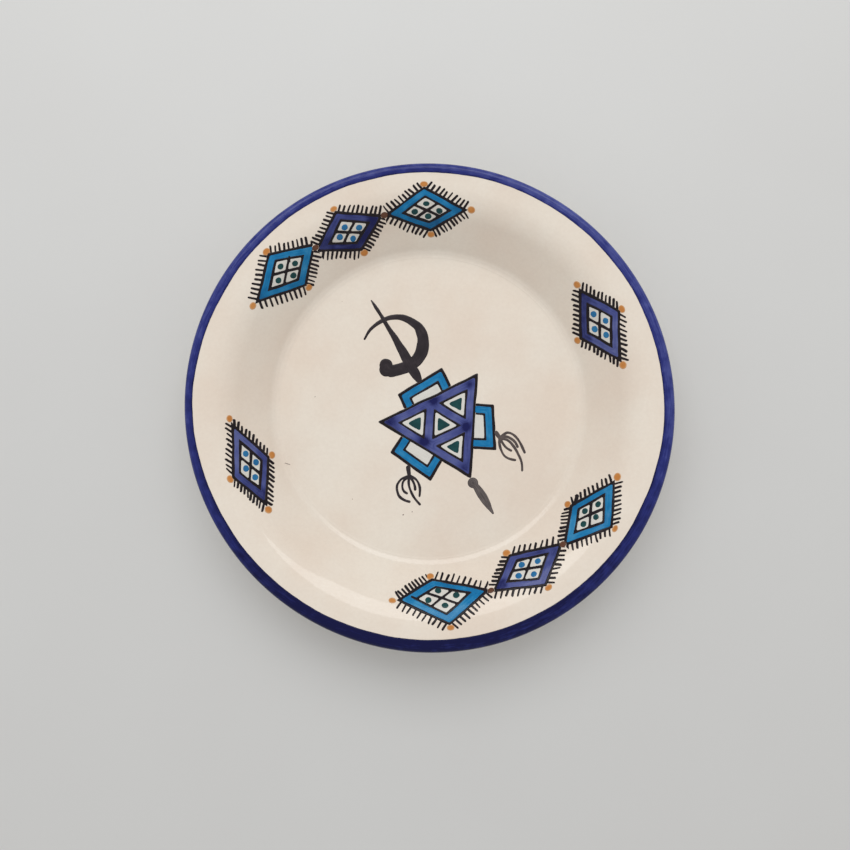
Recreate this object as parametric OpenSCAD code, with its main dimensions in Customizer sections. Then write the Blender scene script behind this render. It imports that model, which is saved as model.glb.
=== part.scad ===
// Deep dinner plate in glazed earthenware with painted enamel ornament.
// The ornament is traditional: eight fringed lozenges round the wall and a brooch with tassels in the well.
// Millimetres. The origin is the centre of the foot ring on the table, and +Z is up.

/* [Plate] */
// Diameter over the lip
plate_d = 230; // [224:1:250]
// Height from the table to the top of the lip
plate_h = 35; // [33:1:42]
// Radius of the flat well
well_r = 74; // [72:0.5:76]
// Thickness of floor, wall and lip, with the glaze on both sides
wall_t = 5; // [4.6:0.1:5.6]
// Angle of the wall above the table
wall_slope = 48; // [46:1:50]
// Angle of the lip above the table
lip_slope = 10; // [6:1:12]
// Radius of the crease between well and wall
crease_r = 7; // [5:0.5:8]
// Radius of the bend between wall and lip
flare_r = 22; // [18:1:24]
// Width of the lip outside that bend
lip_w = 10.8; // [10:0.2:12]

/* [Foot] */
// Outer radius of the foot ring
foot_r = 63; // [56:1:66]
// Width of the foot ring
foot_w = 7.5; // [6:0.5:9]
// Rounding of the foot's lower edges
foot_round = 1; // [0.5:0.1:1.4]
// Height of the bare clay at the bottom of the foot
bare_h = 1.6; // [1.5:0.1:2.5]

/* [Coats] */
// Thickness of the glaze
glaze_t = 0.4; // [0.3:0.05:0.6]
// Thickness of the painted enamel
enamel_t = 0.25; // [0.2:0.05:0.35]
// Width of the cobalt band on the lip, seen from above
band_w = 4.1; // [3:0.1:5]
// Depth of the cobalt band down the outside of the lip
band_drop = 4.4; // [4:0.1:5]

/* [Lozenges] */
// Width of a lozenge's outer line
line_w = 1.3; // [1.1:0.1:1.7]
// Width of the lines of its inner grid
grid_w = 1.25; // [0.9:0.05:1.4]
// Size of the inner grid as a share of the lozenge
grid_share = 0.6; // [0.56:0.01:0.64]
// Width of a fringe stroke
fringe_w = 0.9; // [0.8:0.05:1.1]
// Length of a fringe stroke outside the outer line
fringe_l = 3.5; // [3:0.1:4]
// Radius of the dots inside the grid, measured on the wall
cell_dot_r = 1.5; // [1.2:0.05:1.6]
// Radius of the dots at the lozenges' corners, measured on the wall
corner_dot_r = 1.75; // [1.4:0.05:2]

/* [Brooch] */
// Width of the triangle's and the brackets' outer lines
brooch_line_w = 1.5; // [1.1:0.1:1.7]
// Width of the lines round the cells and the windows
cell_line_w = 1.25; // [0.8:0.05:1.4]
// Width of the triangle's coloured frame, between the middles of its lines
frame_w = 4.5; // [4:0.1:4.7]
// Half the width of the bars between the cells
bar_half_w = 2.3; // [2:0.1:2.4]
// Width of a tassel's strand
strand_w = 1.25; // [1:0.05:1.4]

/* [Hidden] */
$fn = 96;
TURQUOISE = "#1878b4";
COBALT = "#4a509a";
INK = "#241c26";
WHITE = "#e6e2da";
OCHRE = "#cd8c4b";

// Plate section, from the well outwards
lip_edge_r = wall_t / 2;
lip_r = plate_d / 2 - enamel_t;
flare_end_r = lip_r - lip_w + enamel_t;
wall_start_r = well_r + crease_r * sin(wall_slope);
wall_end_r = flare_end_r - flare_r * (sin(wall_slope) - sin(lip_slope));
crease_rise = crease_r * (1 - cos(wall_slope));
wall_rise = (wall_end_r - wall_start_r) * tan(wall_slope);
flare_rise = flare_r * (cos(lip_slope) - cos(wall_slope));
lip_len = (lip_r - lip_edge_r - flare_end_r - lip_edge_r * sin(lip_slope)) / cos(lip_slope);
lip_rise = lip_len * sin(lip_slope) + lip_edge_r * (1 - cos(lip_slope));
well_z = plate_h - enamel_t - crease_rise - wall_rise - flare_rise - lip_rise;
under_z = well_z - wall_t;
crease_c = [well_r, well_z + crease_r];
wall_start = [wall_start_r, well_z + crease_rise];
wall_len = (wall_end_r - wall_start_r) / cos(wall_slope);
flare_end = [flare_end_r, well_z + crease_rise + wall_rise + flare_rise];
flare_c = flare_end + flare_r * [sin(lip_slope), -cos(lip_slope)];
lip_edge_c = flare_end + lip_len * [cos(lip_slope), sin(lip_slope)]
    + lip_edge_r * [sin(lip_slope), -cos(lip_slope)];
foot_in = foot_r - foot_w;

// Each lozenge: bearing and distance from the axis of its anticlockwise tip, its outer corner, its
// clockwise tip and its inner corner; lean of the fringe from 0 (square to the side) to 1 (along the
// next side); and strokes on a side.
LOZENGES = [
    [[148.2, 95.9], [136.3, 104.1], [125.3, 95], [135.1, 85.5], 0.3, 10],
    [[125.6, 92.7], [115.6, 101.8], [104.1, 94.2], [113, 84.9], 0.5, 10],
    [[102.3, 94.1], [91.4, 103.3], [79.8, 95.3], [89.7, 86.7], 0.45, 10],
    [[38.2, 91.5], [27.2, 99.9], [14.3, 93.3], [25.1, 82.4], 0.85, 10],
    [[338.2, 94.1], [326.9, 101.9], [314.9, 91.7], [325.6, 84], 0.7, 10],
    [[314.1, 90.5], [303.3, 99.4], [289.5, 92.1], [298.7, 82.3], 0.8, 9],
    [[287.7, 91.2], [275.3, 101.6], [260.9, 92.5], [270.9, 83.6], 0.4, 10],
    [[210.2, 90.6], [199.3, 98], [184.9, 93.8], [196.6, 82.7], 0.9, 10],
];
COUNT = len(LOZENGES);
// Pairs of lozenges whose tips meet, with a brown dot between them
CHAINED = [[0, 1], [1, 2], [4, 5], [5, 6]];
// The lozenges with a turquoise field and green dots; the others have a cobalt field and turquoise dots
TURQUOISE_ONES = [0, 2, 4, 6];

// Corner dots start this share of their radius short of the point of the outer line
DOT_REACH = 0.8;
DOT_STEP = 15;

// Brooch: the triangle's corners, seen from above
TRIANGLE = [[-24.3, -6.4], [23.6, 16.9], [20.4, -33.8]];
// How far the bars' triangle is drawn in from the one that joins the middles of the sides
BAR_SHRINK = 0.85;
// Each bracket, by the side it stands on: start and end along the side, height at start and at end
BRACKETS = [[14.3, 38.7, 8, 10.2], [14.8, 36.1, 8.9, 11.4], [16.6, 39.5, 11.3, 9.9]];
BRACKET_BAND = 4.3;
// Size of the green triangles as a share of their cells
GREEN_SHARE = 0.56;

// Brush strokes go through points [x, y, half width]
CURVE_STEPS = 4;
PIN = [
    [-29, 54.3, 0.25], [-25.8, 49.4, 0.8], [-19.9, 39.5, 1.1], [-16.7, 34.6, 1.6],
    [-13.9, 29.6, 2.05], [-9.2, 21.1, 2.45], [-7.1, 17.6, 2.35], [-5.6, 15, 1.7]
];
RING = [
    [-32.4, 34.8, 0.45], [-29.4, 40, 0.65], [-24.6, 43.8, 0.85], [-19.2, 45.8, 1.1], [-13.2, 45.7, 1.55],
    [-6.6, 42, 2.05], [-4.3, 38.4, 2.6], [-3.1, 34.1, 2.8], [-3.8, 29.1, 3.15], [-5.9, 25.2, 3],
    [-8.9, 22.6, 2.85], [-12, 20.9, 2.9], [-18.9, 18.9, 3]
];
// The ring's curled end: two round dabs, [x, y, radius]
RING_DABS = [[-21.5, 19.8, 3.45], [-21.7, 22, 3.2]];
PENDANT_KNOB = [21.8, -36.8];
PENDANT_KNOB_R = 2.6;
LEAF = [
    [23.5, -38.7, 1.6], [25.4, -41.7, 2], [27.4, -44.9, 2], [29.3, -47.9, 1.45], [30.6, -50.2, 0.85],
    [31.8, -52.1, 0.4]
];
// The tassels' knots
KNOTS = [
    [[-10.5, -29.2, 1.25], [-10.3, -31.4, 1], [-10.1, -33.4, 0.8]],
    [[33.4, -11.7, 0.95], [34.5, -13.4, 1], [35.4, -14.7, 0.8]],
];
// The tassels' strands, through points [x, y]
STRANDS = [
    [
        [[-10.2, -33.4], [-13.9, -34.9], [-16.2, -38.4], [-15.4, -42.9], [-12.7, -45.2], [-9.9, -46.2]],
        [[-10.4, -34], [-12.9, -35.9], [-13.5, -38.7], [-12.8, -40.9], [-11.2, -42]],
        [[-10.2, -33.9], [-10.4, -37.4], [-9.4, -40.9], [-7.4, -44.4], [-4.7, -47.7]],
        [[-9.7, -33.9], [-8.2, -36.2], [-7.4, -38.4], [-7.2, -40.2]],
        [[-9.7, -33.3], [-6.7, -35.2], [-5.2, -37.9], [-4.7, -40.4], [-4.9, -43.7]],
    ],
    [
        [[35.3, -14.9], [35, -16.9], [35.8, -20.4], [37.5, -23.2], [40, -24.7], [42.8, -25.4]],
        [[35.5, -14.9], [36.8, -17.4], [38.5, -19.4], [40.8, -20.7]],
        [[35.9, -14.7], [39.3, -15.7], [42.3, -18.9], [44.8, -23.4], [46, -26.9], [46.3, -30.7]],
        [[35.9, -14.4], [38.3, -13.7], [40.8, -14.7], [42.8, -16.4], [44, -18.7]],
        [[35.6, -14.2], [37.3, -12.7], [39.3, -11.7], [42, -12.7], [44.8, -15.9], [47.5, -21.7]],
    ],
];

// ---- Plane geometry ----

function unit(v) = v / norm(v);
function direction(a) = [cos(a), sin(a)];
function cross_z(a, b) = a[0] * b[1] - a[1] * b[0];
function left_of(v) = [-v[1], v[0]];
function heading(v) = atan2(v[1], v[0]);

// Where the line through p along u meets the line through q along v
function meet(p, u, q, v) = p + u * cross_z(q - p, v) / cross_z(u, v);

// Corner p of a shape whose sides to a and to c are moved in by da and dc
function inset_corner(a, p, c, da, dc, turn) =
    meet(p + turn * da * left_of(unit(p - a)), p - a, p + turn * dc * left_of(unit(c - p)), c - p);

// A triangle with its three sides moved in by d[0], d[1] and d[2]; side i runs from corner i
function inset_triangle(t, d) =
    let (turn = sign(cross_z(t[1] - t[0], t[2] - t[0])))
    [for (i = [0:2]) inset_corner(t[(i + 2) % 3], t[i], t[(i + 1) % 3], d[(i + 2) % 3], d[i], turn)];

// A four-sided shape with its sides moved in by w
function inset_quad(q, w) =
    let (turn = sign(cross_z(q[1] - q[0], q[2] - q[0])))
    [for (i = [0:3]) inset_corner(q[(i + 3) % 4], q[i], q[(i + 1) % 4], w, w, turn)];

// Points of a smooth line through the points p, each of which may carry a half width
function between(a, b, c, d, t) =
    b + t * (c - a + t * (2 * a - 5 * b + 4 * c - d + t * (3 * b - a - 3 * c + d))) / 2;
function smooth_line(p) =
    let (last = len(p) - 1)
    concat([for (i = [0:last - 1], k = [0:CURVE_STEPS - 1])
        between(p[max(i - 1, 0)], p[i], p[i + 1], p[min(i + 2, last)], k / CURVE_STEPS)], [p[last]]);

function xy(q) = [q[0], q[1]];
function run_at(line, k) = unit(xy(line[min(k + 1, len(line) - 1)]) - xy(line[max(k - 1, 0)]));
function brush_edge(line, k, side) = xy(line[k]) + side * line[k][2] * left_of(run_at(line, k));
// Round end of a brush stroke that faces an angle
function brush_end(q, angle) = [for (a = [60:-30:-60]) xy(q) + q[2] * direction(angle + a)];

// Brush stroke through points [x, y, half width]
module brush(points) {
    line = smooth_line(points);
    last = len(line) - 1;
    polygon(concat(
        [for (k = [0:last]) brush_edge(line, k, 1)],
        brush_end(line[last], heading(run_at(line, last))),
        [for (k = [last:-1:0]) brush_edge(line, k, -1)],
        brush_end(line[0], heading(run_at(line, 0)) + 180)
    ));
}

module wedge(c, a0, a1, reach) {
    mid = (a0 + a1) / 2;
    far = reach / cos((a1 - a0) / 2);
    polygon([c, c + reach * direction(a0), c + far * direction(mid), c + reach * direction(a1)]);
}

// Part of a ring between two radii and two angles less than 180 degrees apart
module ring_sector(c, r_in, r_out, a0, a1) {
    intersection() {
        difference() {
            translate(c) circle(r_out, $fn = 360);
            translate(c) circle(r_in, $fn = 360);
        }
        wedge(c, a0, a1, 2 * r_out);
    }
}

// Strip that starts at p, runs at an angle and lies between two heights above that line
module strip(p, angle, length, low, high) {
    translate(p) rotate(angle) translate([0, low]) square([length, high - low]);
}

// Straight brush stroke with a round end
module stroke(p, angle, length, w) {
    translate(p) rotate(angle) {
        translate([0, -w / 2]) square([length, w]);
        translate([length, 0]) circle(w / 2, $fn = 24);
    }
}

// ---- Plate ----

// Half section of the shell between two distances below and above its upper glaze surface
module shell_section(low, high) {
    translate([0, well_z + low]) square([well_r, high - low]);
    ring_sector(crease_c, crease_r - high, crease_r - low, -90, wall_slope - 90);
    strip(wall_start, wall_slope, wall_len, low, high);
    ring_sector(flare_c, flare_r + low, flare_r + high, 90 + lip_slope, 90 + wall_slope);
    strip(flare_end, lip_slope, lip_len, low, high);
}

// Half section of the foot ring, grown by t on its sides
module foot_section(t) {
    r_in = foot_in - t;
    r_out = foot_r + t;
    top = under_z + wall_t / 2;
    translate([r_in + foot_round, 0]) square([r_out - r_in - 2 * foot_round, top]);
    translate([r_in, foot_round]) square([r_out - r_in, top - foot_round]);
    for (r = [r_in + foot_round, r_out - foot_round])
        translate([r, foot_round]) circle(foot_round);
}

// Half section of the whole plate, grown by t from the glaze's surface
module plate_section(t) {
    shell_section(-wall_t - t, t);
    translate(lip_edge_c) circle(lip_edge_r + t);
    foot_section(t);
}

module glaze_section() {
    difference() {
        plate_section(0);
        plate_section(-glaze_t);
        translate([0, -1]) square([lip_r, bare_h + 1]);
    }
}

// Area under the plate and inside its foot ring
module base_zone() {
    square([(foot_in + foot_r) / 2, under_z + wall_t / 2]);
}

module clay_body() {
    color("#b9876a") rotate_extrude($fn = 360) plate_section(-glaze_t);
}

module glaze_coat() {
    color("#e8ddcd") rotate_extrude($fn = 360) difference() {
        glaze_section();
        base_zone();
    }
}

module base_glaze() {
    color("#dccfbd") rotate_extrude($fn = 360) intersection() {
        glaze_section();
        base_zone();
    }
}

module rim_band() {
    band_r = plate_d / 2 - band_w;
    color("#2d327d") rotate_extrude($fn = 360) intersection() {
        difference() {
            plate_section(enamel_t);
            plate_section(0);
        }
        translate([band_r, plate_h - band_drop]) square([2 * band_w, 2 * band_drop]);
    }
}

// ---- Enamel ----

// Enamel on the wall: the drawing below it, seen from above, raised onto the glaze
module wall_enamel() {
    intersection() {
        rotate_extrude($fn = 360) shell_section(0, enamel_t);
        linear_extrude(height = plate_h + 1) children();
    }
}

// Enamel on the flat well
module well_enamel() {
    translate([0, 0, well_z]) linear_extrude(height = enamel_t) children();
}

// ---- Lozenges ----

function corner_at(i, k) = LOZENGES[i][k][1] * direction(LOZENGES[i][k][0]);
function lozenge_at(i) = (corner_at(i, 0) + corner_at(i, 1) + corner_at(i, 2) + corner_at(i, 3)) / 4;
// Corners seen from the lozenge's middle: anticlockwise tip, outer, clockwise tip, inner
function corners(i) = [for (k = [0:3]) corner_at(i, k) - lozenge_at(i)];
function fringe_lean(i) = LOZENGES[i][4];
function fringe_count(i) = LOZENGES[i][5];
function is_turquoise(i) = len(search(i, TURQUOISE_ONES)) > 0;
// Tip 1 of a lozenge is the anticlockwise one, and tip 0 the clockwise one
function chained_tip(i, end) = len([for (c = CHAINED) if (c[end] == i) 1]) > 0;
function tip(i, end) = corner_at(i, end == 0 ? 2 : 0);
function joint_of(pair) = (tip(pair[0], 0) + tip(pair[1], 1)) / 2;

// Distance of a corner dot's centre beyond a corner: past the point of the outer line
function dot_reach(i, k) =
    let (c = corners(i), half = angle_between(c[k] - c[(k + 1) % 4], c[k] - c[(k + 3) % 4]) / 2)
    line_w / 2 / sin(half) + DOT_REACH * corner_dot_r * (k % 2 == 0 ? 1 : cos(wall_slope));
function angle_between(u, v) = acos(u * v / norm(u) / norm(v));

// Corners of one of the four cells of the inner grid, between the middles of the grid's lines
function cell_corners(i, k) =
    let (q = grid_share * corners(i))
    [q[k], (q[k] + q[(k + 1) % 4]) / 2, [0, 0], (q[k] + q[(k + 3) % 4]) / 2];
function dot_at(i, k) =
    let (c = cell_corners(i, k))
    lozenge_at(i) + (c[0] + c[1] + c[2] + c[3]) / 4;

// A dot that is round on the sloping wall, and so narrower towards the axis when seen from above
module wall_dot(p, r) {
    out = r * cos(wall_slope) * unit(p);
    round = r * left_of(unit(p));
    polygon([for (a = [0:DOT_STEP:359]) p + cos(a) * out + sin(a) * round]);
}

// A lozenge of a share of the full size, with its sides moved in
module rhomb(i, share, inset) {
    polygon(inset_quad(share * corners(i), inset));
}

module place(i) {
    translate(lozenge_at(i)) children();
}

module cell(i, k) {
    polygon(inset_quad(cell_corners(i, k), grid_w / 2));
}

module corner_dots(i) {
    free = [!chained_tip(i, 1), true, !chained_tip(i, 0), true];
    for (k = [0:3])
        if (free[k])
            wall_dot(corner_at(i, k) + dot_reach(i, k) * unit(corners(i)[k]), corner_dot_r);
}

module joint_dots() {
    for (pair = CHAINED) wall_dot(joint_of(pair), corner_dot_r);
}

module outline_drawing(i) {
    place(i) {
        difference() {
            rhomb(i, 1, -line_w / 2);
            rhomb(i, 1, line_w / 2);
        }
        difference() {
            rhomb(i, grid_share, -grid_w / 2);
            for (k = [0:3]) cell(i, k);
        }
    }
}

// Strokes on the side from corner k to the next, kept clear of both corners
module side_strokes(i, k) {
    a = corners(i)[k];
    b = corners(i)[(k + 1) % 4];
    outward = unit(left_of(b - a)) * sign(cross_z(b - a, -a)) * -1;
    lean = fringe_lean(i);
    along = heading((1 - lean) * outward + lean * unit(a + b));
    n = fringe_count(i);
    for (s = [0.5:n])
        stroke(a + (b - a) * s / n, along, line_w / 2 + fringe_l - fringe_w / 2, fringe_w);
}

// Share of the plate between a lozenge's neighbours in its chain
module own_sector(i) {
    a = heading(lozenge_at(i));
    low = chained_tip(i, 0) ? heading(joint_of([i, i + 1])) : a - 20;
    high = chained_tip(i, 1) ? heading(joint_of([i - 1, i])) : a + 20;
    start = a - ((a - low) % 360 + 360) % 360;
    end = a + ((high - a) % 360 + 360) % 360;
    wedge([0, 0], start, end, plate_d);
}

module lozenge_outline(i) {
    color(INK) wall_enamel() difference() {
        intersection() {
            outline_drawing(i);
            own_sector(i);
        }
        joint_dots();
    }
}

module lozenge_field(i) {
    color(is_turquoise(i) ? TURQUOISE : COBALT) wall_enamel() place(i) difference() {
        rhomb(i, 1, line_w / 2);
        rhomb(i, grid_share, -grid_w / 2);
    }
}

module lozenge_dots(i) {
    color(is_turquoise(i) ? "#14484a" : "#2878aa") wall_enamel()
        for (k = [0:3]) wall_dot(dot_at(i, k), cell_dot_r);
}

module lozenge_fringe(i) {
    color(INK) wall_enamel() difference() {
        intersection() {
            place(i) for (k = [0:3]) side_strokes(i, k);
            own_sector(i);
        }
        place(i) rhomb(i, 1, -line_w / 2);
        corner_dots(i);
        joint_dots();
    }
}

module lozenge_cells() {
    color(WHITE) wall_enamel() for (i = [0:COUNT - 1])
        for (k = [0:3]) difference() {
            place(i) cell(i, k);
            wall_dot(dot_at(i, k), cell_dot_r);
        }
}

module ochre_dots() {
    color(OCHRE) wall_enamel() for (i = [0:COUNT - 1])
        difference() {
            corner_dots(i);
            place(i) rhomb(i, 1, -line_w / 2);
        }
}

module chain_dots() {
    color("#6e4636") wall_enamel() joint_dots();
}

// ---- Brooch ----

middles = [for (i = [0:2]) (TRIANGLE[i] + TRIANGLE[(i + 1) % 3]) / 2];
triangle_c = (TRIANGLE[0] + TRIANGLE[1] + TRIANGLE[2]) / 3;
bars = [for (m = middles) triangle_c + BAR_SHRINK * (m - triangle_c)];
// How far the bars' lines lie inside the line that joins two middles
bar_shift = (1 - BAR_SHRINK) * abs(cross_z(middles[1] - middles[0], triangle_c - middles[0]))
    / norm(middles[1] - middles[0]);

// The four cells: one in each corner of the triangle, and one in the middle
function cell_triangle(k, more) =
    let (f = frame_w + more, b = bar_half_w + more)
    k == 3
        ? inset_triangle(bars, [b, b, b])
        : inset_triangle([TRIANGLE[k], middles[k], middles[(k + 2) % 3]], [f, b - bar_shift, f]);
function middle_of(t) = (t[0] + t[1] + t[2]) / 3;

module triangle_drawing(inset) {
    polygon(inset_triangle(TRIANGLE, [inset, inset, inset]));
}

// Drawing in the frame of side i: along the side, and out from it
module on_side(i) {
    a = TRIANGLE[i];
    b = TRIANGLE[(i + 1) % 3];
    translate(a) rotate(heading(b - a)) children();
}

// A bracket's outline, drawn in by w; the foot of the bracket runs under the triangle
module bracket_shape(i, w) {
    s = BRACKETS[i];
    slope = (s[3] - s[2]) / (s[1] - s[0]);
    left = s[0] + w;
    right = s[1] - w;
    polygon([[left, -1], [right, -1], [right, s[3] - w - slope * w], [left, s[2] - w + slope * w]]);
}

module bracket_outline(i) {
    color(INK) well_enamel() difference() {
        on_side(i) {
            difference() {
                bracket_shape(i, -brooch_line_w / 2);
                bracket_shape(i, brooch_line_w / 2);
            }
            difference() {
                bracket_shape(i, BRACKET_BAND - cell_line_w / 2);
                bracket_shape(i, BRACKET_BAND + cell_line_w / 2);
            }
        }
        triangle_drawing(-brooch_line_w / 2);
        brush(PIN);
        brush(KNOTS[0]);
        brush(KNOTS[1]);
    }
}

module bracket_field(i) {
    color(TURQUOISE) well_enamel() difference() {
        on_side(i) difference() {
            bracket_shape(i, brooch_line_w / 2);
            bracket_shape(i, BRACKET_BAND - cell_line_w / 2);
        }
        triangle_drawing(-brooch_line_w / 2);
        brush(PIN);
    }
}

module brooch_outline() {
    color(INK) well_enamel() difference() {
        union() {
            difference() {
                triangle_drawing(-brooch_line_w / 2);
                triangle_drawing(brooch_line_w / 2);
            }
            for (k = [0:3]) difference() {
                polygon(cell_triangle(k, -cell_line_w / 2));
                polygon(cell_triangle(k, cell_line_w / 2));
            }
        }
        translate(PENDANT_KNOB) circle(PENDANT_KNOB_R);
    }
}

module brooch_field() {
    color(COBALT) well_enamel() difference() {
        triangle_drawing(brooch_line_w / 2);
        for (k = [0:3]) polygon(cell_triangle(k, -cell_line_w / 2));
        translate(PENDANT_KNOB) circle(PENDANT_KNOB_R);
    }
}

// Small green triangle in the middle of a cell
module green_drawing(k) {
    t = cell_triangle(k, cell_line_w / 2);
    m = middle_of(t);
    polygon([for (p = t) m + GREEN_SHARE * (p - m)]);
}

module brooch_green() {
    color("#14484a") well_enamel() for (k = [0:3]) green_drawing(k);
}

module brooch_cells() {
    color(WHITE) well_enamel() {
        for (k = [0:3]) difference() {
            polygon(cell_triangle(k, cell_line_w / 2));
            green_drawing(k);
        }
        for (i = [0:2]) difference() {
            on_side(i) bracket_shape(i, BRACKET_BAND + cell_line_w / 2);
            triangle_drawing(-brooch_line_w / 2);
        }
    }
}

module brooch_pin() {
    color(INK) well_enamel() brush(PIN);
}

module brooch_ring() {
    color(INK) well_enamel() difference() {
        union() {
            brush(RING);
            for (dab = RING_DABS) translate(xy(dab)) circle(dab[2]);
        }
        brush(PIN);
    }
}

module tassel(i) {
    color(INK) well_enamel() {
        brush(KNOTS[i]);
        for (strand = STRANDS[i]) brush([for (q = strand) [q[0], q[1], strand_w / 2]]);
    }
}

module pendant() {
    color(INK) well_enamel() {
        translate(PENDANT_KNOB) circle(PENDANT_KNOB_R);
        brush(LEAF);
    }
}

clay_body();
glaze_coat();
base_glaze();
rim_band();
for (i = [1:COUNT]) {
    lozenge_outline(i - 1);
    lozenge_field(i - 1);
    lozenge_dots(i - 1);
    lozenge_fringe(i - 1);
}
lozenge_cells();
ochre_dots();
chain_dots();
brooch_pin();
brooch_ring();
brooch_outline();
brooch_field();
brooch_cells();
brooch_green();
for (i = [1:3]) {
    bracket_outline(i - 1);
    bracket_field(i - 1);
}
tassel(0);  // tassel_1
tassel(1);  // tassel_2
pendant();
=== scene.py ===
import math
from collections import Counter

import bmesh
import bpy
import numpy as np
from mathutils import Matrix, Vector, kdtree, noise
from mathutils.geometry import delaunay_2d_cdt


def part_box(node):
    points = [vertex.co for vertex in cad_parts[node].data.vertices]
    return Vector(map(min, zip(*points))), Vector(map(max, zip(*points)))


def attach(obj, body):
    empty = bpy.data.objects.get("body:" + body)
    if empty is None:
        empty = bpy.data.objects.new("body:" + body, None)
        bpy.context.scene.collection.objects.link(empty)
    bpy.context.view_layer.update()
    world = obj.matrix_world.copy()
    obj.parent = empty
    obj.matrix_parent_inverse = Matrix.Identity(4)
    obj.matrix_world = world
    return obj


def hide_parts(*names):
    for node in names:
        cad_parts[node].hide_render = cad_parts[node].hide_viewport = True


# Looks of a deep dinner plate in glazed earthenware, painted by hand with enamels.
# The plate is turned again with the small faults of hand work, and every enamel deposit is drawn again
# from the outline of its CAD node: thicker in the middle than at its edge, and with a brush's wavy edge.
# Lengths are in millimetres and angles in degrees unless a comment says otherwise.

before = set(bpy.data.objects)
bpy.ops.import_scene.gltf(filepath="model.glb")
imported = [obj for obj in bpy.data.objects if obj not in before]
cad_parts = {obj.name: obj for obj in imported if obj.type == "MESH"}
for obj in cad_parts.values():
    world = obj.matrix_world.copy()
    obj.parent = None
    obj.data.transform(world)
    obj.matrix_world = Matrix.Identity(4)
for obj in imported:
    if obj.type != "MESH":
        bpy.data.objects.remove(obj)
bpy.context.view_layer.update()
MM = 0.001

# ---- Plate section, as the CAD has it ----
PLATE_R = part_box("rim_band")[1].x / MM
PLATE_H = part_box("rim_band")[1].z / MM
WELL_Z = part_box("brooch_pin")[0].z / MM
ENAMEL_T = 0.25
GLAZE_T = 0.4
WALL_T = 5
WELL_R = 74
CREASE_R = 7
FLARE_R = 22
LIP_W = 10.8
WALL_SLOPE = 48
LIP_SLOPE = 10
FOOT_R = 63
FOOT_W = 7.5
FOOT_ROUND = 1
BARE_H = 1.6
BAND_DROP = 4.4
FOOT_FILLET = 1.8         # rounding where the foot's outer side meets the underside
BASE_FILLET = 2.2        # the same at its inner side
ABOVE_BARE = 0.5         # the glazed sides' lines stop this far above the bare clay,
BELOW_BARE = 0.2         # and the foot's line starts this far below its top


def sin(a):
    return np.sin(np.radians(a))


def cos(a):
    return np.cos(np.radians(a))


def tan(a):
    return np.tan(np.radians(a))


LIP_R = PLATE_R - ENAMEL_T
LIP_EDGE_R = WALL_T / 2
UNDER_Z = WELL_Z - WALL_T
CREASE_C = (WELL_R, WELL_Z + CREASE_R)
WALL_START = (WELL_R + CREASE_R * sin(WALL_SLOPE), WELL_Z + CREASE_R * (1 - cos(WALL_SLOPE)))
FLARE_END_R = LIP_R - LIP_W + ENAMEL_T
WALL_END_R = FLARE_END_R - FLARE_R * (sin(WALL_SLOPE) - sin(LIP_SLOPE))
WALL_END_Z = WALL_START[1] + (WALL_END_R - WALL_START[0]) * tan(WALL_SLOPE)
FLARE_C = (FLARE_END_R + FLARE_R * sin(LIP_SLOPE), WALL_END_Z - FLARE_R * cos(WALL_SLOPE))
FLARE_END_Z = FLARE_C[1] + FLARE_R * cos(LIP_SLOPE)
LIP_EDGE_C = (LIP_R - LIP_EDGE_R, PLATE_H - ENAMEL_T - LIP_EDGE_R)
LIP_START_R = LIP_EDGE_C[0] - LIP_EDGE_R * sin(LIP_SLOPE)

# ---- Faults of hand work ----
TURN_STEPS = 384
OVAL = 0.0045            # share by which the lip is out of round
OVAL_BEARING = -40       # bearing of its longest diameter
WELL_SHIFT = 0.8         # how far the well sits off the lip's axis
WELL_SHIFT_BEARING = 105
SHIFT_FULL_R = (50, 62)  # radii between which that shift is full
UNEVEN = 0.11            # height of the slow waves in the glaze
UNEVEN_SIZE = 34
UNEVEN_START_H = 2       # height over the table from which the waves grow,
UNEVEN_GROW_H = 4        # and over how much they grow
GLAZE_END_WAVE = 0.28    # waviness of the line where the glaze ends on the foot
GLAZE_END_WAVE_SIZE = 9
GLAZE_END_ZONE = (0.6, 4)   # heights between which that waviness acts
# Turning ridges in the crease: radius, height and half width
RIDGES = [(75.3, 0.07, 0.32), (77.4, 0.05, 0.35)]
DRAWING_SWAY = 0.26      # how far a drawn line strays
DRAWING_SWAY_SIZE = 9

# ---- Reading the CAD's drawings ----
WELD = 0.02              # points closer than this are one
SLIVER_AREA = 0.15       # loops smaller than this are left out
SEAM_GAP = 0.05          # how far the two sides of a seam in the CAD's faces may lie apart
FACES_UP = 0.3           # least upward share of an upper face's normal

# ---- Enamel deposits ----
SUNK = 0.06              # how far a deposit reaches down into the glaze
RIM_T = 0.015            # its thickness at the very edge
LOOP_STEP = 0.24         # spacing of the points on an outline
SWELL_SIZE = 4.5         # length over which the brush's pressure changes
BRISTLE = 0.045          # unevenness that the bristles leave
BRISTLE_SIZE = 0.9
LUMPS = 0.2              # share by which a deposit's thickness varies
LUMP_SIZE = 2.2
ROW_SHARE = 0.87         # row spacing of a triangular grid
INNER_GAP = 0.1          # grid points keep this far from the outline
ON_OUTLINE = 0.02

# Visible width of the cobalt band at every 30 degrees, anticlockwise from +X
BAND_WIDTHS = [5.55, 5.1, 4.9, 4.95, 4.9, 5.2, 4.35, 5.7, 6.35, 6.55, 6.8, 6.3]
# Tone of its crest before the painted crest highlight is added, at the same bearings
BAND_TONES = [0.0, -0.1, -0.3, 0.15, 0.0, 0.0, 0.2, 0.5, 1.1, 1.1, 0.85, 0.5]
BAND_EDGE_SHADE_TONE = 0.45    # painted shade: darker towards the band's edges, on either side of the crest's painted highlight
CREST_HIGHLIGHT_TONE = -0.2        # painted highlight: paler along the crest, standing for the light reflected there
CREST_HIGHLIGHT_START = 0.8        # distance from the edge where the crest's painted highlight begins,
CREST_HIGHLIGHT_FADE = 1.3         # and over which it reaches its full effect
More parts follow.
